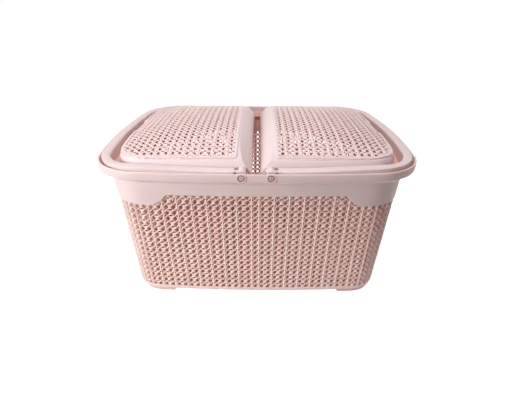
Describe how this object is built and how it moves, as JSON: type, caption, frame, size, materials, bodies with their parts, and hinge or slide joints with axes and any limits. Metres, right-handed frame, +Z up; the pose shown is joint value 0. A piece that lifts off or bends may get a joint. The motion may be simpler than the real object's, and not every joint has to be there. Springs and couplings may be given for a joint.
{
  "type": "lidded picnic basket",
  "caption": "Tapered openwork plastic basket with a trough rim, lids hinged near the middle, bail handles folded into the rim, and snap pins at the hinge ends.",
  "frame": {"origin": "centre of the base, on the surface that the feet stand on", "axes": "+X along the length to the right-hand lid, +Y to the rear, +Z up"},
  "size_m": [0.42, 0.3378, 0.2212],
  "materials": {
    "tub_plastic": "blush pink moulded plastic, satin",
    "lid_plastic": "blush pink moulded plastic, satin",
    "handle_plastic": "blush pink moulded plastic, smooth satin",
    "pin_plastic": "blush pink moulded plastic, satin"
  },
  "bodies": {
    "tub": {"basket_tub": "tub_plastic", "pivot_pin_front_left": "pin_plastic", "pivot_pin_front_right": "pin_plastic", "pivot_pin_rear_left": "pin_plastic", "pivot_pin_rear_right": "pin_plastic"},
    "left_lid": {"lid_left": "lid_plastic"},
    "right_lid": {"lid_right": "lid_plastic"},
    "left_handle": {"handle_left": "handle_plastic"},
    "right_handle": {"handle_right": "handle_plastic"}
  },
  "joints": [
    {"name": "left_lid_hinge", "type": "hinge", "parent": "tub", "child": "left_lid", "pos_m": [-0.0172, 0, 0.1944], "axis": [0, 1, 0], "range_deg": [0, 45]},
    {"name": "right_lid_hinge", "type": "hinge", "parent": "tub", "child": "right_lid", "pos_m": [0.0172, 0, 0.1944], "axis": [0, -1, 0], "range_deg": [0, 45]},
    {"name": "left_handle_hinge", "type": "hinge", "parent": "tub", "child": "left_handle", "pos_m": [-0.0172, 0, 0.1944], "axis": [0, 1, 0], "range_deg": [0, 92]},
    {"name": "right_handle_hinge", "type": "hinge", "parent": "tub", "child": "right_handle", "pos_m": [0.0172, 0, 0.1944], "axis": [0, -1, 0], "range_deg": [0, 92]}
  ]
}
